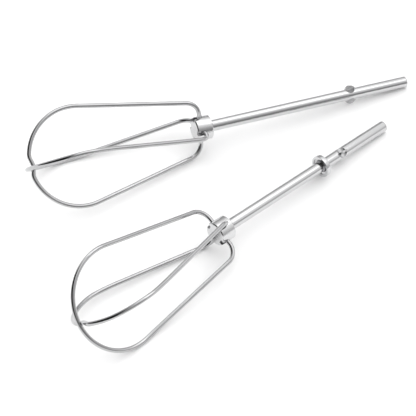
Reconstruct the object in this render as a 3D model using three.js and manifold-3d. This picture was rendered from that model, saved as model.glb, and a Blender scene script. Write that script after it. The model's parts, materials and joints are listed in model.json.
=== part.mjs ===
import * as THREE from "three";
import { mergeVertices } from "three/addons/utils/BufferGeometryUtils.js";
import Module from "manifold-3d";

// A pair of wire beaters for a hand mixer, lying side by side on a flat surface.
// Millimetres, +Z up. The origin is under the middle of the pair, on the surface.
//
// Each beater is made in its own frame: the hub's front face is at x = 0, the wire loops reach
// forwards along +X, and the drive shaft runs back along -X. Two wire loops cross at right angles,
// the outer one passing over the inner one at the end. Seen from the hub, each loop's ends are
// turned out of the plane of its belly, one way on one beater and the other way on its partner.

const wasm = await Module();
wasm.setup();

// Whole beater
const SHAFT_REACH = 114; // hub's front face to the tip of the shaft
const LOOP_REACH = 84.8; // hub's front face to the centre of the outer wire at its end
const CLEARANCE = 0.3; // kept between pieces that touch

// Wire loops
const WIRE_RADIUS = 1.1;
const BELLY_HALF_LENGTH = 24.3; // half-axis of the elliptical end, along the beater
const BELLY_HALF_WIDTH = 24.6; // half-axis across the beater
const INNER_SHORTER = 1; // how much shorter and narrower the inner loop's ellipse is
const INNER_NARROWER = 0.6;
const SHOULDER_RADIUS = 13.6; // axis to the corner where a side would meet its stub
const CORNER_RADIUS = 7;
const TWIST = THREE.MathUtils.degToRad(28.3);
const TWIST_EASE = 0.17; // part of a side's length over which its twist fades out
const CROSSING_DEPTH = 2 * WIRE_RADIUS + CLEARANCE; // between wire centres where the loops cross
const DENT_HALF_WIDTH = 6; // of the shallow bend that takes the inner wire under the outer one

// Hub
const HUB_RADIUS = 6;
const HUB_LENGTH = 8.2;
const HUB_CHAMFER = 0.45;
const SEAT_SETBACK = 3.2; // hub face to the centre of the wire seats
const SEAT_HALF_WIDTH = WIRE_RADIUS + CLEARANCE;
const SEAT_FLOOR = 4; // distance of a seat's floor from the axis
const STUB_END = 2; // distance of a wire's end from the axis
const SOCKET_DEPTH = 3.3;

// Drive shaft, with two ears pressed out of it near its tip
const SHAFT_RADIUS = 2.8;
const TIP_ROUND = 0.9;
const EAR_FROM_TIP = 30.8;
const EAR_HALF_THICKNESS = 0.5;
const EAR_ARC_RADIUS = 3.1;
const EAR_ARC_OFFSET = 1.6; // of the arc's centre from the axis
const PUNCH_RADIUS = 2.9; // of the hollows that the ears were pressed out of
const PUNCH_OFFSET = 4.4;

// Stop collar on one of the two shafts
const COLLAR_RADIUS = 5.5;
const COLLAR_WIDTH = 2.3;
const COLLAR_CHAMFER = 0.3;
const COLLAR_FROM_TIP = 44.5; // tip to the collar's hub-side face
const RECESS_RADIUS = 4.3;
const RECESS_DEPTH = 0.7;

// Fineness of the round surfaces
const WIRE_SIDES = 10;
const CORNER_STEPS = 5;
const EASE_STEPS = 4;
const BELLY_STEPS = 10;
const TURN_SIDES = 40;
const SHAFT_SIDES = 32;
const PUNCH_SIDES = 24;
const SEAT_STEPS = 6;
const TIP_STEPS = 3;
const OVERCUT = 1; // how far a cutting solid reaches past the surface that it opens

// Where the two beaters lie: the hub face's place on the surface, and the beater's turn about
// the vertical and about its own axis. It rests on its wires and on the tip of its shaft.
const BEATERS = [
  {
    name: "plain_beater",
    place: [-7.1, 37.2],
    heading: 201.6,
    roll: 141.6,
    hand: 1,
    outerLoopTurn: 90,
    outerDrift: 0.8,
    innerDrift: 0,
    earTurn: -25,
    collar: false,
  },
  {
    name: "collared_beater",
    place: [3, -27.5],
    heading: 222.9,
    roll: 131,
    hand: -1,
    outerLoopTurn: 0,
    outerDrift: 0,
    innerDrift: 1.5,
    earTurn: 107,
    collar: true,
  },
];

// Materials
const wireSteel = { color: 0xc9cacc, roughness: 0.14, metalness: 1 };
const shaftSteel = { color: 0xb9babc, roughness: 0.26, metalness: 1 };
const hubSteel = { color: 0xc4c5c7, roughness: 0.24, metalness: 1 };
const collarSteel = { color: 0xb2b2b4, roughness: 0.24, metalness: 1 };

function solidOf(geometry) {
  const bare = geometry.clone();
  bare.deleteAttribute("normal");
  bare.deleteAttribute("uv");
  const merged = mergeVertices(bare, 1e-4);
  const corners = merged.index.array;
  const triVerts = [];
  for (let i = 0; i < corners.length; i += 3) {
    const [a, b, c] = corners.slice(i, i + 3);
    if (a !== b && b !== c && c !== a) triVerts.push(a, b, c);
  }
  return new wasm.Manifold(
    new wasm.Mesh({
      numProp: 3,
      vertProperties: merged.attributes.position.array,
      triVerts: new Uint32Array(triVerts),
    }),
  );
}

function geometryOf(solid) {
  const { vertProperties, triVerts } = solid.getMesh();
  const geometry = new THREE.BufferGeometry();
  geometry.setAttribute("position", new THREE.BufferAttribute(vertProperties, 3));
  geometry.setIndex(new THREE.BufferAttribute(triVerts, 1));
  geometry.computeVertexNormals();
  return geometry;
}

function meshOf(name, geometry, finish) {
  const mesh = new THREE.Mesh(geometry, new THREE.MeshStandardMaterial(finish));
  mesh.name = name;
  return mesh;
}

// A solid of revolution about the X axis, from [x, radius] points that run towards -X.
function turned(outline, sides) {
  const profile = outline.map(([x, radius]) => new THREE.Vector2(radius, x));
  return new THREE.LatheGeometry(profile.reverse(), sides).rotateZ(-Math.PI / 2);
}

// A curve that steps from point to point, so that a bend keeps its closely spaced points.
class PointPath extends THREE.Curve {
  constructor(points) {
    super();
    this.points = points;
  }

  getPoint(t, target = new THREE.Vector3()) {
    const at = t * (this.points.length - 1);
    const start = Math.min(Math.floor(at), this.points.length - 2);
    return target.lerpVectors(this.points[start], this.points[start + 1], at - start);
  }

  getUtoTmapping(u) {
    return u;
  }
}

// How much of the twist is left at part t of the way from the shoulder to the belly.
function twistLeft(t) {
  if (t < 1 - TWIST_EASE) return 1 - t;
  if (t > 1 + TWIST_EASE) return 0;
  return (1 + TWIST_EASE - t) ** 2 / (4 * TWIST_EASE);
}

// Half of a loop's centre line, from its end inside the hub to the middle of the belly.
// The belly is half an ellipse in the XY plane, and the side is its tangent through the shoulder.
function halfLoop(reach, halfWidth, dent, hand) {
  const centreX = reach - BELLY_HALF_LENGTH;
  const shoulderX = -SEAT_SETBACK;
  const shoulderY = SHOULDER_RADIUS * Math.cos(TWIST);
  const lift = -hand * SHOULDER_RADIUS * Math.sin(TWIST);

  // The tangent point, found on the circle that the ellipse becomes when stretched along X
  const stretchedX = ((shoulderX - centreX) * halfWidth) / BELLY_HALF_LENGTH;
  const tangentAngle =
    Math.atan2(shoulderY, stretchedX) -
    Math.acos(halfWidth / Math.hypot(stretchedX, shoulderY));
  const tangentX = centreX + BELLY_HALF_LENGTH * Math.cos(tangentAngle);
  const tangentY = halfWidth * Math.sin(tangentAngle);

  const liftAt = (x) => lift * twistLeft((x - shoulderX) / (tangentX - shoulderX));
  const side = (t) => {
    const x = THREE.MathUtils.lerp(shoulderX, tangentX, t);
    return new THREE.Vector3(x, THREE.MathUtils.lerp(shoulderY, tangentY, t), liftAt(x));
  };
  const belly = (angle) => {
    const x = centreX + BELLY_HALF_LENGTH * Math.cos(angle);
    const y = halfWidth * Math.sin(angle);
    const across = Math.min(Math.abs(y) / DENT_HALF_WIDTH, 1);
    const dentHere = dent * 0.5 * (1 + Math.cos(Math.PI * across));
    return new THREE.Vector3(x - dentHere, y, liftAt(x));
  };

  // The rounded corner between the radial stub and the side
  const corner = side(0);
  const outwards = new THREE.Vector3(0, corner.y, corner.z).normalize();
  const along = side(0.5).sub(corner).normalize();
  const bend = outwards.angleTo(along);
  const cornerTangent = CORNER_RADIUS * Math.tan(bend / 2);
  const bendStart = corner.clone().addScaledVector(outwards, -cornerTangent);
  const inwards = along.clone().addScaledVector(outwards, -Math.cos(bend)).normalize();
  const points = [
    outwards.clone().multiplyScalar(STUB_END).setX(shoulderX),
  ];
  for (let step = 0; step <= CORNER_STEPS; step += 1) {
    const angle = (bend * step) / CORNER_STEPS;
    points.push(
      bendStart
        .clone()
        .addScaledVector(outwards, CORNER_RADIUS * Math.sin(angle))
        .addScaledVector(inwards, CORNER_RADIUS * (1 - Math.cos(angle))),
    );
  }
  for (let step = 0; step < EASE_STEPS; step += 1) {
    points.push(side(1 - TWIST_EASE * (1 - step / EASE_STEPS)));
  }
  for (let step = 0; step <= BELLY_STEPS; step += 1) {
    points.push(belly(tangentAngle * (1 - step / BELLY_STEPS)));
  }
  return points;
}

// A whole wire loop: its second half is the first one turned half a turn about the axis. The end
// drifts a little out of the belly's plane, as it does where hand-assembled loops cross.
function wireLoop(name, outer, hand, drift) {
  const reach = outer ? LOOP_REACH : LOOP_REACH - INNER_SHORTER;
  const halfWidth = outer ? BELLY_HALF_WIDTH : BELLY_HALF_WIDTH - INNER_NARROWER;
  const dent = outer ? 0 : CROSSING_DEPTH - INNER_SHORTER;
  const first = halfLoop(reach, halfWidth, dent, hand);
  const second = first.slice(0, -1).map((p) => new THREE.Vector3(p.x, -p.y, -p.z));
  const centreLine = [...first, ...second.reverse()];
  for (const point of centreLine) {
    point.z += drift * THREE.MathUtils.smoothstep(point.x, reach - BELLY_HALF_LENGTH, reach);
  }
  const path = new PointPath(centreLine);
  const section = [];
  for (let side = 0; side < WIRE_SIDES; side += 1) {
    const angle = (2 * Math.PI * side) / WIRE_SIDES;
    section.push(
      new THREE.Vector2(WIRE_RADIUS * Math.cos(angle), WIRE_RADIUS * Math.sin(angle)),
    );
  }
  const geometry = new THREE.ExtrudeGeometry(new THREE.Shape(section), {
    extrudePath: path,
    steps: path.points.length - 1,
  });
  return meshOf(name, geometry, wireSteel);
}

// The outline of a wire seat in the hub's side: a slot with a round bottom, open at the front.
function seatOutline() {
  const outline = new THREE.Shape();
  outline.moveTo(OVERCUT, -SEAT_HALF_WIDTH);
  outline.lineTo(OVERCUT, SEAT_HALF_WIDTH);
  outline.lineTo(-SEAT_SETBACK, SEAT_HALF_WIDTH);
  outline.absarc(-SEAT_SETBACK, 0, SEAT_HALF_WIDTH, Math.PI / 2, Math.PI * 1.5, false);
  return outline;
}

// The hub: a turned cylinder with a socket for the shaft and four seats for the wires' ends.
function hub(name, hand) {
  let solid = solidOf(
    turned(
      [
        [0, 0],
        [0, HUB_RADIUS - HUB_CHAMFER],
        [-HUB_CHAMFER, HUB_RADIUS],
        [HUB_CHAMFER - HUB_LENGTH, HUB_RADIUS],
        [-HUB_LENGTH, HUB_RADIUS - HUB_CHAMFER],
        [-HUB_LENGTH, SHAFT_RADIUS + CLEARANCE],
        [SOCKET_DEPTH - HUB_LENGTH, SHAFT_RADIUS + CLEARANCE],
        [SOCKET_DEPTH - HUB_LENGTH, 0],
      ],
      TURN_SIDES,
    ),
  );
  const slotDepth = HUB_RADIUS - SEAT_FLOOR + OVERCUT;
  const slot = new THREE.ExtrudeGeometry(seatOutline(), {
    depth: slotDepth,
    bevelEnabled: false,
    curveSegments: SEAT_STEPS,
  }).translate(0, 0, SEAT_FLOOR);
  const holeRadius = WIRE_RADIUS + CLEARANCE;
  const holeBottom = STUB_END - CLEARANCE;
  const holeLength = SEAT_FLOOR + OVERCUT - holeBottom;
  const hole = new THREE.CylinderGeometry(holeRadius, holeRadius, holeLength, PUNCH_SIDES)
    .rotateX(Math.PI / 2)
    .translate(-SEAT_SETBACK, 0, holeBottom + holeLength / 2);
  for (let seat = 0; seat < 4; seat += 1) {
    const turn = (seat * Math.PI) / 2 - hand * TWIST;
    solid = solid.subtract(solidOf(slot.clone().rotateX(turn)));
    solid = solid.subtract(solidOf(hole.clone().rotateX(turn)));
  }
  return meshOf(name, geometryOf(solid), hubSteel);
}

// The drive shaft. Each ear is a thin rounded blade between two punched hollows.
function shaft(name, earTurn) {
  const frontX = SOCKET_DEPTH - CLEARANCE - HUB_LENGTH;
  const outline = [
    [frontX, 0],
    [frontX, SHAFT_RADIUS],
  ];
  for (let step = 0; step <= TIP_STEPS; step += 1) {
    const angle = (Math.PI / 2) * (step / TIP_STEPS);
    outline.push([
      -SHAFT_REACH + TIP_ROUND * (1 - Math.sin(angle)),
      SHAFT_RADIUS - TIP_ROUND * (1 - Math.cos(angle)),
    ]);
  }
  outline.push([-SHAFT_REACH, 0]);
  let solid = solidOf(turned(outline, SHAFT_SIDES));
  const earX = -SHAFT_REACH + EAR_FROM_TIP;
  const punchLength = SHAFT_RADIUS + OVERCUT;
  for (const way of [1, -1]) {
    const blade = new THREE.CylinderGeometry(
      EAR_ARC_RADIUS,
      EAR_ARC_RADIUS,
      2 * EAR_HALF_THICKNESS,
      SHAFT_SIDES,
    )
      .rotateX(Math.PI / 2)
      .translate(earX, way * EAR_ARC_OFFSET, 0);
    solid = solid.add(solidOf(blade.rotateX(earTurn)));
  }
  for (const way of [1, -1]) {
    for (const face of [1, -1]) {
      const punch = new THREE.CylinderGeometry(
        PUNCH_RADIUS,
        PUNCH_RADIUS,
        punchLength,
        PUNCH_SIDES,
      )
        .rotateX(Math.PI / 2)
        .translate(
          earX,
          way * PUNCH_OFFSET,
          face * (EAR_HALF_THICKNESS + punchLength / 2),
        );
      solid = solid.subtract(solidOf(punch.rotateX(earTurn)));
    }
  }
  return meshOf(name, geometryOf(solid), shaftSteel);
}

// A ring on the shaft that stops it in its socket, recessed on the side that faces the hub.
function stopCollar(name) {
  const frontX = -SHAFT_REACH + COLLAR_FROM_TIP;
  const backX = frontX - COLLAR_WIDTH;
  const bore = SHAFT_RADIUS + CLEARANCE;
  const outline = [
    [frontX - RECESS_DEPTH, bore],
    [frontX - RECESS_DEPTH, RECESS_RADIUS],
    [frontX, RECESS_RADIUS + COLLAR_CHAMFER],
    [frontX, COLLAR_RADIUS - COLLAR_CHAMFER],
    [frontX - COLLAR_CHAMFER, COLLAR_RADIUS],
    [backX + COLLAR_CHAMFER, COLLAR_RADIUS],
    [backX, COLLAR_RADIUS - COLLAR_CHAMFER],
    [backX, bore],
    [frontX - RECESS_DEPTH, bore],
  ];
  return meshOf(name, turned(outline, TURN_SIDES), collarSteel);
}

// The pitch at which a beater's lowest wire and the tip of its shaft both touch the surface.
function restingPitch(beater, rollAngle) {
  const point = new THREE.Vector3();
  const tip = new THREE.Vector2(-SHAFT_REACH + TIP_ROUND, SHAFT_RADIUS);
  let pitch = 0;
  beater.traverse((piece) => {
    if (!piece.isMesh) return;
    piece.updateWorldMatrix(true, false);
    const corners = piece.geometry.getAttribute("position");
    for (let i = 0; i < corners.count; i += 1) {
      point.fromBufferAttribute(corners, i).applyMatrix4(piece.matrixWorld);
      const depth = -(point.y * Math.sin(rollAngle) + point.z * Math.cos(rollAngle));
      if (point.x > 0) pitch = Math.max(pitch, Math.atan2(depth - tip.y, point.x - tip.x));
    }
  });
  return pitch;
}

function makeBeater(plan) {
  const { name, hand, outerLoopTurn, outerDrift, innerDrift, earTurn, collar } = plan;
  const beater = new THREE.Group();
  const turn = THREE.MathUtils.degToRad(outerLoopTurn);
  const outer = wireLoop(`${name}_outer_wire`, true, hand, outerDrift);
  const inner = wireLoop(`${name}_inner_wire`, false, hand, innerDrift);
  outer.rotation.x = turn;
  inner.rotation.x = Math.PI / 2 - turn;
  beater.add(outer, inner);
  beater.add(hub(`${name}_hub`, hand));
  beater.add(shaft(`${name}_shaft`, THREE.MathUtils.degToRad(earTurn)));
  if (collar) beater.add(stopCollar(`${name}_stop_collar`));
  return beater;
}

const pair = new THREE.Group();
for (const plan of BEATERS) {
  const beater = makeBeater(plan);
  const roll = THREE.MathUtils.degToRad(plan.roll);
  const pitch = restingPitch(beater, roll);
  beater.rotation.set(roll, -pitch, THREE.MathUtils.degToRad(plan.heading), "ZYX");
  beater.position.set(plan.place[0], plan.place[1], 0);
  beater.position.z = -new THREE.Box3().setFromObject(beater, true).min.z;
  pair.add(beater);
}
const box = new THREE.Box3().setFromObject(pair, true);
const middle = box.getCenter(new THREE.Vector3());
pair.position.set(-middle.x, -middle.y, -box.min.z);

export default pair;
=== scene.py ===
import json
import math

import bpy
from mathutils import Matrix, Vector


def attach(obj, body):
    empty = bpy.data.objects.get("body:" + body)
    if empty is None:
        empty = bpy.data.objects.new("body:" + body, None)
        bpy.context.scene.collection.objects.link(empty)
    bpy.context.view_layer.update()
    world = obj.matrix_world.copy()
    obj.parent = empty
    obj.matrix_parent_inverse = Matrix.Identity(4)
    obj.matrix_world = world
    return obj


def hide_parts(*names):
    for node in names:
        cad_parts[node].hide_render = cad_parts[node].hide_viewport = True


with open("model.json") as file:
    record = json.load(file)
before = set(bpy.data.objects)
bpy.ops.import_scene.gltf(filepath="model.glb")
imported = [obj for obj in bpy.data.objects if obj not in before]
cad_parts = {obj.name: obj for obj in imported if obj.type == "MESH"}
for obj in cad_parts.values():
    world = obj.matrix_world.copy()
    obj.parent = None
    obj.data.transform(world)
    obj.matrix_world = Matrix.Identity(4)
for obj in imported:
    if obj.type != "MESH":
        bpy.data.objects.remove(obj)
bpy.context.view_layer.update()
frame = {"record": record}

# A pair of hand mixer beaters lying side by side on a white surface.
#
# Each beater is built in its own frame, as in the CAD and in millimetres: the hub's front face is at
# x = 0, the wire loops reach forwards along +X and the shaft runs back along -X. The record's mount
# on the flat of each shaft's tip then says where the beater lies and where it points, and the mesh is
# put there in metres.

# Whole beater
SHAFT_REACH = 114
LOOP_REACH = 84.8
CLEARANCE = 0.3

# Wire loops
WIRE_RADIUS = 1.1
BELLY_HALF_LENGTH = 24.3
BELLY_HALF_WIDTH = 24.6
INNER_SHORTER = 1
INNER_NARROWER = 0.6
SHOULDER_RADIUS = 13.6
CORNER_RADIUS = 7
TWIST = math.radians(28.3)
TWIST_EASE = 0.17
CROSSING_DEPTH = 2 * WIRE_RADIUS + CLEARANCE
DENT_HALF_WIDTH = 6

# Hub
HUB_RADIUS = 6
HUB_LENGTH = 8.2
HUB_CHAMFER = 0.45
SEAT_SETBACK = 3.2
SEAT_HALF_WIDTH = WIRE_RADIUS + 0.08
SEAT_FLOOR = 4
STUB_END = 2
HOLE_RADIUS = WIRE_RADIUS + 0.05
SOCKET_DEPTH = 3.3

# Drive shaft and its ears
SHAFT_RADIUS = 2.8
TIP_ROUND = 0.9
EAR_FROM_TIP = 30.8
EAR_HALF_THICKNESS = 0.5
EAR_ARC_RADIUS = 3.1
EAR_ARC_OFFSET = 1.6
PUNCH_RADIUS = 2.9
PUNCH_OFFSET = 4.4

# Stop collar
COLLAR_RADIUS = 5.5
COLLAR_WIDTH = 2.3
COLLAR_EDGE = 0.3
COLLAR_FROM_TIP = 44.5
RECESS_RADIUS = 4.3
RECESS_DEPTH = 0.7
PRESS_FIT = 0.01

# Fineness
WIRE_SIDES = 28
CORNER_STEPS = 16
SIDE_STEPS = 70
BELLY_STEPS = 56
TURN_SIDES = 72
SHAFT_SIDES = 72
CUT_SIDES = 48
FILLET_STEPS = 4
TIP_STEPS = 8
COLLAR_FILLET_STEPS = 6
EDGE_STEPS = 3
OVERCUT = 1
ON_AXIS = 1e-9
MM = 0.001

# Edges left by cutting
WELD_DISTANCE = 0.008
SHARP_ANGLE = math.radians(32)
HUB_EDGE_ROUND = 0.11
SHAFT_EDGE_ROUND = 0.14
HUB_FILLET = HUB_CHAMFER / 3
COLLAR_FILLET = COLLAR_EDGE / 2

BEATERS = [
    {
        "body": "plain_beater",
        "mount": "plain_shaft_end",
        "roll": 141.6,
        "hand": 1,
        "outer_loop_turn": 90,
        "outer_drift": 0.8,
        "inner_drift": 0,
        "ear_turn": -25,
        "collar": False,
    },
    {
        "body": "collared_beater",
        "mount": "collared_shaft_end",
        "roll": 131,
        "hand": -1,
        "outer_loop_turn": 0,
        "outer_drift": 0,
        "inner_drift": 1.5,
        "ear_turn": 107,
        "collar": True,
    },
]

# Camera
CAMERA_TARGET = Vector((-0.00603, 0.00442, 0))
CAMERA_ELEVATION = math.radians(50.859)
CAMERA_DISTANCE = 1.2205
CAMERA_LENS = 220.09
CAMERA_SENSOR = 36
NEAREST = 0.05
FARTHEST = 20

# Noise on the steel: where its grey value starts and ends to count, and how much each kind adds
GRAIN_RANGE = (0.3, 0.7)
SMUDGE_RANGE = (0.35, 0.7)
SCRATCH_RANGE = (0.68, 0.76)
SMUDGE_SCALE = (0.16, 0.26, 0.26)
NOISE_ROUGHNESS = 0.6
GRAIN_DETAIL = 3
SCRATCH_DETAIL = 2
GRAIN_TONE = 0.7
SCRATCH_TONE = 0.3
GRAIN_GLOSS = 0.03
SCRATCH_GLOSS = 0.12
SCRATCH_DEPTH = 0.8
BUMP_HEIGHT = 0.00002

# Floor
FLOOR_RADIUS = 6
FLOOR_THICKNESS = 0.01
FLOOR_SIDES = 96
FLOOR_ALBEDO = 0.9

# Studio walls: a part of the direction, where along it the tone changes, and the tone at both ends
HEIGHT_TONE = (0.1, 0.8, 0.6, 1.0)
FRONT_TONE = (-0.75, 0.05, 0.42, 1.15)
BACK_TONE = (0.75, 0.97, 1.0, 0.6)
DARK_FRONT_HALF = (0.2, 0.6, 1.0, 0.0)
DARK_LEFT_SIDE = (-0.3, -0.08, 1.0, 0.0)
DARKNESS = 0.97

# Softboxes: one seen in the steel's reflections, one that lights the floor
SOFTBOXES = [
    {
        "name": "overhead",
        "location": (0.25, 0.42, 1.0),
        "size": (1.3, 0.5),
        "radiance": 0.8,
        "in_reflections": True,
    },
    {
        "name": "fill",
        "location": (0.0, 0.2, 1.3),
        "size": (4.0, 4.0),
        "radiance": 0.98,
        "in_reflections": False,
    },
]


# ---------------------------------------------------------------- camera

def make_camera():
    data = bpy.data.cameras.new("camera")
    data.sensor_width = CAMERA_SENSOR
    data.lens = CAMERA_LENS
    data.clip_start = NEAREST
    data.clip_end = FARTHEST
    camera = bpy.data.objects.new("camera", data)
    bpy.context.scene.collection.objects.link(camera)
    back = Vector((0, -math.cos(CAMERA_ELEVATION), math.sin(CAMERA_ELEVATION)))
    camera.location = CAMERA_TARGET + back * CAMERA_DISTANCE
    camera.rotation_euler = (math.pi / 2 - CAMERA_ELEVATION, 0, 0)
    bpy.context.scene.camera = camera


# ---------------------------------------------------------------- meshes

def lerp(a, b, t):
    return a + (b - a) * t


def smoothstep(value, low, high):
    t = min(max((value - low) / (high - low), 0), 1)
    return t * t * (3 - 2 * t)


def object_of(name, mesh):
    made = bpy.data.objects.new(name, mesh)
    bpy.context.scene.collection.objects.link(made)
    return made


def mesh_of(name, points, faces):
    mesh = bpy.data.meshes.new(name)
    mesh.from_pydata(points, [], faces)
    mesh.update()
    return mesh


def evaluated_mesh(piece):
    """The piece's mesh with its modifiers applied."""
    bpy.context.view_layer.update()
    evaluated = piece.evaluated_get(bpy.context.evaluated_depsgraph_get())
    return bpy.data.meshes.new_from_object(evaluated)


def apply_modifiers(piece):
    old = piece.data
    made = evaluated_mesh(piece)
    piece.modifiers.clear()
    piece.data = made
    bpy.data.meshes.remove(old)


def combine(piece, tool, operation):
    """Joins the tool to the piece, or cuts it out of the piece, and removes the tool."""
    modifier = piece.modifiers.new("combine", "BOOLEAN")
    modifier.operation = operation
    modifier.solver = "EXACT"
    modifier.object = tool
    apply_modifiers(piece)
    bpy.data.objects.remove(tool)


def round_edges(piece, width):
    """Rounds the sharp edges that cutting left."""
    weld = piece.modifiers.new("weld", "WELD")
    weld.merge_threshold = WELD_DISTANCE
    bevel = piece.modifiers.new("round", "BEVEL")
    bevel.limit_method = "ANGLE"
    bevel.angle_limit = SHARP_ANGLE
    bevel.width = width
    bevel.segments = EDGE_STEPS
    bevel.harden_normals = True
    bevel.miter_outer = "MITER_ARC"
    piece.data.shade_smooth()
    apply_modifiers(piece)


def fillet(points, radius, steps=FILLET_STEPS):
    """The outline with its corners rounded; the first and last points stay."""
    made = [points[0]]
    for before, corner, after in zip(points, points[1:], points[2:]):
        corner = Vector(corner)
        back = (Vector(before) - corner).normalized()
        ahead = (Vector(after) - corner).normalized()
        turn = math.pi - back.angle(ahead)
        reach = radius * math.tan(turn / 2)
        centre = corner + (back + ahead).normalized() * (radius / math.cos(turn / 2))
        start = corner + back * reach - centre
        end = corner + ahead * reach - centre
        spread = math.sin(turn)
        for step in range(steps + 1):
            t = step / steps
            mixed = start * (math.sin((1 - t) * turn) / spread) + end * (math.sin(t * turn) / spread)
            made.append(tuple(centre + mixed))
    made.append(points[-1])
    return made


def turned_mesh(name, outline, sides, phase=0):
    """A solid of revolution about the X axis, from (x, radius) points."""
    points = []
    rings = []
    for x, radius in outline:
        if radius < ON_AXIS:
            rings.append([len(points)])
            points.append((x, 0, 0))
            continue
        rings.append(list(range(len(points), len(points) + sides)))
        for side in range(sides):
            angle = 2 * math.pi * side / sides + phase
            points.append((x, radius * math.cos(angle), radius * math.sin(angle)))
    faces = []
    for first, second in zip(rings, rings[1:]):
        for side in range(sides):
            following = (side + 1) % sides
            if len(first) == 1:
                faces.append((first[0], second[following], second[side]))
            elif len(second) == 1:
                faces.append((first[side], first[following], second[0]))
            else:
                faces.append((first[side], first[following], second[following], second[side]))
    return mesh_of(name, points, faces)


def prism_mesh(name, outline, low, high):
    """An outline in XY, raised from z = low to z = high."""
    count = len(outline)
    points = [(x, y, low) for x, y in outline] + [(x, y, high) for x, y in outline]
    faces = [tuple(reversed(range(count))), tuple(range(count, 2 * count))]
    for i in range(count):
        j = (i + 1) % count
        faces.append((i, j, count + j, count + i))
    return mesh_of(name, points, faces)


def circle(centre_x, centre_y, radius, sides=CUT_SIDES):
    turns = [2 * math.pi * (side + 0.5) / sides for side in range(sides)]
    return [(centre_x + radius * math.cos(a), centre_y + radius * math.sin(a)) for a in turns]


def write_lay(piece):
    """Keeps each point's place in the beater's own frame, which the brushed finishes follow."""
    lay = piece.data.attributes.new("lay", "FLOAT_VECTOR", "POINT")
    for vertex, entry in zip(piece.data.vertices, lay.data):
        entry.vector = vertex.co


# ---------------------------------------------------------------- wire loops

def twist_left(t):
    """How much of the twist is left at part t of the way from the shoulder to the belly."""
    if t < 1 - TWIST_EASE:
        return 1 - t
    if t > 1 + TWIST_EASE:
        return 0
    return (1 + TWIST_EASE - t) ** 2 / (4 * TWIST_EASE)


def half_loop(reach, half_width, dent, hand):
    """Half of a loop's centre line, from its end inside the hub to the middle of the belly."""
    centre_x = reach - BELLY_HALF_LENGTH
    shoulder_x = -SEAT_SETBACK
    shoulder_y = SHOULDER_RADIUS * math.cos(TWIST)
    lift = -hand * SHOULDER_RADIUS * math.sin(TWIST)
    stretched_x = (shoulder_x - centre_x) * half_width / BELLY_HALF_LENGTH
    tangent_angle = math.atan2(shoulder_y, stretched_x)
    tangent_angle -= math.acos(half_width / math.hypot(stretched_x, shoulder_y))
    tangent_x = centre_x + BELLY_HALF_LENGTH * math.cos(tangent_angle)
    tangent_y = half_width * math.sin(tangent_angle)

    def lift_at(x):
        return lift * twist_left((x - shoulder_x) / (tangent_x - shoulder_x))

    def side(t):
        x = lerp(shoulder_x, tangent_x, t)
        return Vector((x, lerp(shoulder_y, tangent_y, t), lift_at(x)))

    def belly(angle):
        x = centre_x + BELLY_HALF_LENGTH * math.cos(angle)
        y = half_width * math.sin(angle)
        across = min(abs(y) / DENT_HALF_WIDTH, 1)
        return Vector((x - dent * 0.5 * (1 + math.cos(math.pi * across)), y, lift_at(x)))

    corner = side(0)
    outwards = Vector((0, corner.y, corner.z)).normalized()
    along = (side(0.5) - corner).normalized()
    bend = outwards.angle(along)
    corner_tangent = CORNER_RADIUS * math.tan(bend / 2)
    bend_start = corner - outwards * corner_tangent
    inwards = (along - outwards * math.cos(bend)).normalized()
    points = [outwards * STUB_END + Vector((shoulder_x, 0, 0))]
    for step in range(CORNER_STEPS + 1):
        angle = bend * step / CORNER_STEPS
        across = outwards * (CORNER_RADIUS * math.sin(angle))
        points.append(bend_start + across + inwards * (CORNER_RADIUS * (1 - math.cos(angle))))
    straight = (tangent_x - shoulder_x) / math.cos(bend - math.pi / 2)
    first_t = corner_tangent / straight
    for step in range(1, SIDE_STEPS):
        points.append(side(lerp(first_t, 1, step / SIDE_STEPS)))
    for step in range(BELLY_STEPS + 1):
        points.append(belly(tangent_angle * (1 - step / BELLY_STEPS)))
    return points


def loop_centre_line(outer, hand, drift):
    reach = LOOP_REACH if outer else LOOP_REACH - INNER_SHORTER
    half_width = BELLY_HALF_WIDTH if outer else BELLY_HALF_WIDTH - INNER_NARROWER
    dent = 0 if outer else CROSSING_DEPTH - INNER_SHORTER
    first = half_loop(reach, half_width, dent, hand)
    second = [Vector((p.x, -p.y, -p.z)) for p in first[:-1]]
    points = first + second[::-1]
    for point in points:
        point.z += drift * smoothstep(point.x, reach - BELLY_HALF_LENGTH, reach)
    return points


def wire_mesh(name, points):
    """A round wire along the points, with its place along the straight wire kept in "lay"."""
    tangents = []
    for i in range(len(points)):
        ahead = points[min(i + 1, len(points) - 1)]
        behind = points[max(i - 1, 0)]
        tangents.append((ahead - behind).normalized())
    across = tangents[0].cross(Vector((1, 0, 0))).normalized()
    travelled = 0.0
    vertices = []
    lay = []
    for i, point in enumerate(points):
        if i:
            travelled += (point - points[i - 1]).length
            across = tangents[i - 1].rotation_difference(tangents[i]) @ across
        other = tangents[i].cross(across).normalized()
        for side in range(WIRE_SIDES):
            angle = 2 * math.pi * side / WIRE_SIDES
            out = across * math.cos(angle) + other * math.sin(angle)
            vertices.append(point + out * WIRE_RADIUS)
            lay.append((travelled, WIRE_RADIUS * math.cos(angle), WIRE_RADIUS * math.sin(angle)))
    faces = [tuple(reversed(range(WIRE_SIDES)))]
    for ring in range(len(points) - 1):
        base = ring * WIRE_SIDES
        for side in range(WIRE_SIDES):
            following = (side + 1) % WIRE_SIDES
            below = base + WIRE_SIDES
            faces.append((base + side, base + following, below + following, below + side))
    last = (len(points) - 1) * WIRE_SIDES
    faces.append(tuple(range(last, last + WIRE_SIDES)))
    mesh = mesh_of(name, vertices, faces)
    attribute = mesh.attributes.new("lay", "FLOAT_VECTOR", "POINT")
    for place, entry in zip(lay, attribute.data):
        entry.vector = place
    mesh.shade_smooth()
    for edge in mesh.edges:
        ends = [vertex // WIRE_SIDES for vertex in edge.vertices]
        edge.use_edge_sharp = ends[0] == ends[1] and ends[0] in (0, len(points) - 1)
    return mesh


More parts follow.
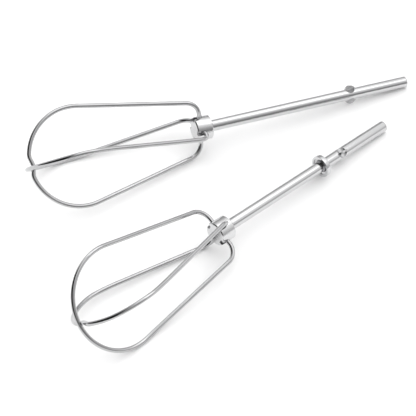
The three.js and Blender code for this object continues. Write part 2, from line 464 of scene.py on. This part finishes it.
def make_wire(name, outer, plan):
    drift = plan["outer_drift"] if outer else plan["inner_drift"]
    points = loop_centre_line(outer, plan["hand"], drift)
    turn = plan["outer_loop_turn"] if outer else 90 - plan["outer_loop_turn"]
    about_axis = Matrix.Rotation(math.radians(turn), 4, "X")
    return object_of(name, wire_mesh(name, [about_axis @ point for point in points]))


# ---------------------------------------------------------------- hub

def seat_outline():
    outline = [(OVERCUT, SEAT_HALF_WIDTH)]
    steps = CUT_SIDES // 2
    for step in range(steps + 1):
        angle = math.pi / 2 + math.pi * step / steps
        x = -SEAT_SETBACK + SEAT_HALF_WIDTH * math.cos(angle)
        outline.append((x, SEAT_HALF_WIDTH * math.sin(angle)))
    outline.append((OVERCUT, -SEAT_HALF_WIDTH))
    return outline


def make_hub(name, plan):
    """A turned hub with a socket for the shaft and four seats for the ends of the wires."""
    bore = SHAFT_RADIUS + PRESS_FIT
    edge = HUB_CHAMFER
    outline = fillet(
        [
            (0, 0),
            (0, HUB_RADIUS - edge),
            (-edge, HUB_RADIUS),
            (edge - HUB_LENGTH, HUB_RADIUS),
            (-HUB_LENGTH, HUB_RADIUS - edge),
            (-HUB_LENGTH, bore),
            (SOCKET_DEPTH - HUB_LENGTH, bore),
        ],
        HUB_FILLET,
    )
    outline.append((SOCKET_DEPTH - HUB_LENGTH, 0))
    seat_turn = -plan["hand"] * TWIST
    half_side = math.pi / TURN_SIDES
    hub = object_of(name, turned_mesh(name, outline, TURN_SIDES, seat_turn + half_side))
    for seat in range(4):
        turn = Matrix.Rotation(seat * math.pi / 2 + seat_turn, 4, "X")
        slot = object_of("slot", prism_mesh("slot", seat_outline(), SEAT_FLOOR, HUB_RADIUS + OVERCUT))
        hole_outline = circle(-SEAT_SETBACK, 0, HOLE_RADIUS)
        hole = object_of("hole", prism_mesh("hole", hole_outline, STUB_END, SEAT_FLOOR + OVERCUT))
        for tool in (slot, hole):
            tool.data.transform(turn)
            combine(hub, tool, "DIFFERENCE")
    round_edges(hub, HUB_EDGE_ROUND)
    write_lay(hub)
    return hub


# ---------------------------------------------------------------- shaft and collar

def make_shaft(name, plan):
    """The drive shaft. Each ear is a thin rounded blade between two punched hollows."""
    front = SOCKET_DEPTH - HUB_LENGTH
    outline = fillet(
        [
            (front, 0),
            (front, SHAFT_RADIUS),
            (-SHAFT_REACH, SHAFT_RADIUS),
            (-SHAFT_REACH, 0),
        ],
        TIP_ROUND,
        TIP_STEPS,
    )
    shaft = object_of(name, turned_mesh(name, outline, SHAFT_SIDES))
    ear_x = -SHAFT_REACH + EAR_FROM_TIP
    lie_flat = Matrix.Rotation(math.radians(plan["ear_turn"]), 4, "X")
    for way in (1, -1):
        outline = circle(ear_x, way * EAR_ARC_OFFSET, EAR_ARC_RADIUS)
        blade = prism_mesh("blade", outline, -EAR_HALF_THICKNESS, EAR_HALF_THICKNESS)
        blade.transform(lie_flat)
        combine(shaft, object_of("blade", blade), "UNION")
    for way in (1, -1):
        for face in (1, -1):
            near = face * EAR_HALF_THICKNESS
            far = face * (SHAFT_RADIUS + OVERCUT)
            outline = circle(ear_x, way * PUNCH_OFFSET, PUNCH_RADIUS)
            punch = prism_mesh("punch", outline, min(near, far), max(near, far))
            punch.transform(lie_flat)
            combine(shaft, object_of("punch", punch), "DIFFERENCE")
    round_edges(shaft, SHAFT_EDGE_ROUND)
    write_lay(shaft)
    return shaft


def make_collar(name):
    """A ring pressed on the shaft, recessed on the side that faces the hub."""
    front = -SHAFT_REACH + COLLAR_FROM_TIP
    back = front - COLLAR_WIDTH
    bore = SHAFT_RADIUS + PRESS_FIT
    start = (front - RECESS_DEPTH, bore)
    outline = fillet(
        [
            start,
            (back, bore),
            (back, COLLAR_RADIUS),
            (front, COLLAR_RADIUS),
            (front, RECESS_RADIUS),
            (front - RECESS_DEPTH, RECESS_RADIUS),
            start,
        ],
        COLLAR_FILLET,
        COLLAR_FILLET_STEPS,
    )
    collar = object_of(name, turned_mesh(name, outline, 2 * TURN_SIDES))
    weld = collar.modifiers.new("weld", "WELD")
    weld.merge_threshold = WELD_DISTANCE / 2
    apply_modifiers(collar)
    collar.data.shade_smooth()
    write_lay(collar)
    return collar


# ---------------------------------------------------------------- materials

def add_node(material, kind, **settings):
    node = material.node_tree.nodes.new(kind)
    for key, value in settings.items():
        setattr(node, key, value)
    return node


def join(material, source, target):
    material.node_tree.links.new(source, target)


def stretched_noise(material, place, scale, detail):
    """Noise drawn out along some axes: scale gives the grains per millimetre on each axis of place."""
    mapping = add_node(material, "ShaderNodeMapping")
    mapping.inputs["Scale"].default_value = scale
    noise = add_node(material, "ShaderNodeTexNoise")
    noise.inputs["Scale"].default_value = 1
    noise.inputs["Detail"].default_value = detail
    noise.inputs["Roughness"].default_value = NOISE_ROUGHNESS
    join(material, place, mapping.inputs["Vector"])
    join(material, mapping.outputs["Vector"], noise.inputs["Vector"])
    return noise.outputs["Fac"]


def ranged(material, value, low, high, to_low, to_high):
    node = add_node(material, "ShaderNodeMapRange", interpolation_type="SMOOTHSTEP")
    for name, number in zip(
        ("From Min", "From Max", "To Min", "To Max"), (low, high, to_low, to_high)
    ):
        node.inputs[name].default_value = number
    join(material, value, node.inputs["Value"])
    return node.outputs["Result"]


def maths(material, operation, first, second):
    node = add_node(material, "ShaderNodeMath", operation=operation)
    for socket, value in zip(node.inputs, (first, second)):
        if isinstance(value, (int, float)):
            socket.default_value = value
        else:
            join(material, value, socket)
    return node.outputs["Value"]


def weighted_sum(material, first, second):
    """The sum of two (value, weight) pairs."""
    parts = [maths(material, "MULTIPLY", value, weight) for value, weight in (first, second)]
    return maths(material, "ADD", *parts)


def mixed_colour(material, factor, first, second):
    node = add_node(material, "ShaderNodeMix", data_type="RGBA")
    node.inputs["A"].default_value = (*first, 1)
    node.inputs["B"].default_value = (*second, 1)
    join(material, factor, node.inputs["Factor"])
    return node.outputs["Result"]


def lay_of(material):
    return add_node(material, "ShaderNodeAttribute", attribute_name="lay").outputs["Vector"]


def turned_place(material):
    """(x, distance from the axis, 0), so that noise on it makes rings, as a lathe leaves them."""
    parts = add_node(material, "ShaderNodeSeparateXYZ")
    join(material, lay_of(material), parts.inputs["Vector"])
    squares = [maths(material, "MULTIPLY", parts.outputs[k], parts.outputs[k]) for k in "YZ"]
    radius = maths(material, "SQRT", maths(material, "ADD", *squares), 0)
    place = add_node(material, "ShaderNodeCombineXYZ")
    join(material, parts.outputs["X"], place.inputs["X"])
    join(material, radius, place.inputs["Y"])
    return place.outputs["Vector"]


def steel(name, finish):
    """Polished steel: a worked grain, faint smudges and a few deeper scratches."""
    material = bpy.data.materials.new(name)
    material.use_nodes = True
    shader = material.node_tree.nodes["Principled BSDF"]
    shader.inputs["Metallic"].default_value = 1
    lay = lay_of(material)
    grain_place = turned_place(material) if finish["turned"] else lay
    grain = stretched_noise(material, grain_place, finish["grain"], GRAIN_DETAIL)
    smudge = stretched_noise(material, lay, SMUDGE_SCALE, GRAIN_DETAIL)
    marks = stretched_noise(material, lay, finish["scratch"], SCRATCH_DETAIL)
    scratch = ranged(material, marks, *SCRATCH_RANGE, 0, 1)
    grain_share = ranged(material, grain, *GRAIN_RANGE, 0, 1)
    tone = weighted_sum(material, (grain_share, GRAIN_TONE), (scratch, SCRATCH_TONE))
    colour = mixed_colour(material, tone, finish["light"], finish["dark"])
    join(material, colour, shader.inputs["Base Color"])
    smudge_rough = ranged(material, smudge, *SMUDGE_RANGE, *finish["roughness"])
    worked_rough = weighted_sum(material, (grain_share, GRAIN_GLOSS), (scratch, SCRATCH_GLOSS))
    rough = maths(material, "ADD", smudge_rough, worked_rough)
    join(material, rough, shader.inputs["Roughness"])
    bump = add_node(material, "ShaderNodeBump")
    bump.inputs["Strength"].default_value = finish["bump"]
    bump.inputs["Distance"].default_value = BUMP_HEIGHT
    cut = maths(material, "MULTIPLY", scratch, SCRATCH_DEPTH)
    height = maths(material, "SUBTRACT", grain, cut)
    join(material, height, bump.inputs["Height"])
    join(material, bump.outputs["Normal"], shader.inputs["Normal"])
    return material


FINISHES = {
    "polished_wire": {
        "turned": False,
        "grain": (0.09, 2.6, 2.6),
        "scratch": (0.42, 3.2, 3.2),
        "light": (0.56, 0.56, 0.565),
        "dark": (0.41, 0.41, 0.42),
        "roughness": (0.03, 0.06),
        "bump": 0.06,
    },
    "shaft_steel": {
        "turned": False,
        "grain": (0.045, 3.4, 3.4),
        "scratch": (0.16, 2.6, 2.6),
        "light": (0.67, 0.67, 0.675),
        "dark": (0.53, 0.53, 0.54),
        "roughness": (0.12, 0.18),
        "bump": 0.12,
    },
    "hub_steel": {
        "turned": True,
        "grain": (7, 7, 1),
        "scratch": (0.7, 1.3, 1.3),
        "light": (0.72, 0.72, 0.725),
        "dark": (0.60, 0.60, 0.61),
        "roughness": (0.15, 0.22),
        "bump": 0.14,
    },
    "collar_steel": {
        "turned": True,
        "grain": (6, 6, 1),
        "scratch": (0.9, 1.5, 1.5),
        "light": (0.69, 0.69, 0.70),
        "dark": (0.58, 0.58, 0.59),
        "roughness": (0.15, 0.22),
        "bump": 0.14,
    },
}


# ---------------------------------------------------------------- placing

def beater_matrix(plan):
    """The beater's own frame in the row's frame, from the record's mount on its shaft's tip."""
    mounts = {mount["name"]: mount for mount in frame["record"]["mounts"]}
    mount = mounts[plan["mount"]]
    forwards = -Vector(mount["axis"]).normalized()
    heading = math.atan2(forwards.y, forwards.x)
    pitch = math.asin(forwards.z)
    turned = Matrix.Rotation(heading, 4, "Z") @ Matrix.Rotation(-pitch, 4, "Y")
    turned = turned @ Matrix.Rotation(math.radians(plan["roll"]), 4, "X")
    origin = Vector(mount["pos_m"]) + forwards * SHAFT_REACH * MM
    return Matrix.Translation(origin) @ turned @ Matrix.Scale(MM, 4)


def place(piece, matrix, plan, node, slot, materials):
    piece.data.transform(matrix)
    piece.data.materials.clear()
    piece.data.materials.append(materials[slot])
    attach(piece, plan["body"])
    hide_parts(node)


def make_beater(plan, materials):
    matrix = beater_matrix(plan)
    body = plan["body"]
    made = [
        (make_wire("wire_outer." + body, True, plan), "outer_wire", "polished_wire"),
        (make_wire("wire_inner." + body, False, plan), "inner_wire", "polished_wire"),
        (make_hub("hub." + body, plan), "hub", "hub_steel"),
        (make_shaft("shaft." + body, plan), "shaft", "shaft_steel"),
    ]
    if plan["collar"]:
        made.append((make_collar("stop_collar." + body), "stop_collar", "collar_steel"))
    for piece, node, slot in made:
        place(piece, matrix, plan, body + "_" + node, slot, materials)


# ---------------------------------------------------------------- studio

def make_floor():
    """A plain pale surface, wide enough to fill every view."""
    outline = circle(0, 0, FLOOR_RADIUS, FLOOR_SIDES)
    floor = object_of("floor", prism_mesh("floor", outline, -FLOOR_THICKNESS, 0))
    material = bpy.data.materials.new("white_surface")
    material.use_nodes = True
    shader = material.node_tree.nodes["Principled BSDF"]
    shader.inputs["Base Color"].default_value = (FLOOR_ALBEDO, FLOOR_ALBEDO, FLOOR_ALBEDO, 1)
    shader.inputs["Roughness"].default_value = 0.9
    shader.inputs["Specular IOR Level"].default_value = 0
    floor.data.materials.append(material)


def make_softbox(plan):
    """A rectangular light that faces the origin, either for reflections or for what it lights."""
    width, depth = plan["size"]
    data = bpy.data.lights.new(plan["name"], "AREA")
    data.shape = "RECTANGLE"
    data.size = width
    data.size_y = depth
    data.energy = plan["radiance"] * math.pi * width * depth
    light = bpy.data.objects.new(plan["name"], data)
    bpy.context.scene.collection.objects.link(light)
    light.location = plan["location"]
    light.rotation_euler = (-light.location).to_track_quat("-Z", "Y").to_euler()
    light.visible_glossy = plan["in_reflections"]
    light.visible_diffuse = not plan["in_reflections"]


def make_studio_walls():
    """The studio around the table: pale overhead, dimmer in front and behind, dark on the left."""
    world = bpy.data.worlds.new("studio")
    bpy.context.scene.world = world
    world.use_nodes = True
    background = world.node_tree.nodes["Background"]
    towards = add_node(world, "ShaderNodeTexCoord").outputs["Generated"]
    parts = add_node(world, "ShaderNodeSeparateXYZ")
    join(world, towards, parts.inputs["Vector"])
    x, y, z = parts.outputs
    front_and_top = maths(
        world, "MULTIPLY", ranged(world, z, *HEIGHT_TONE), ranged(world, y, *FRONT_TONE)
    )
    walls = maths(world, "MULTIPLY", front_and_top, ranged(world, y, *BACK_TONE))
    dark = maths(
        world, "MULTIPLY", ranged(world, y, *DARK_FRONT_HALF), ranged(world, x, *DARK_LEFT_SIDE)
    )
    lit = maths(world, "SUBTRACT", 1, maths(world, "MULTIPLY", dark, DARKNESS))
    join(world, maths(world, "MULTIPLY", walls, lit), background.inputs["Color"])


# ---------------------------------------------------------------- scene

make_camera()
steels = {name: steel(name, finish) for name, finish in FINISHES.items()}
for beater_plan in BEATERS:
    make_beater(beater_plan, steels)
make_floor()
make_studio_walls()
for softbox_plan in SOFTBOXES:
    make_softbox(softbox_plan)
bpy.context.scene.view_settings.view_transform = "Standard"
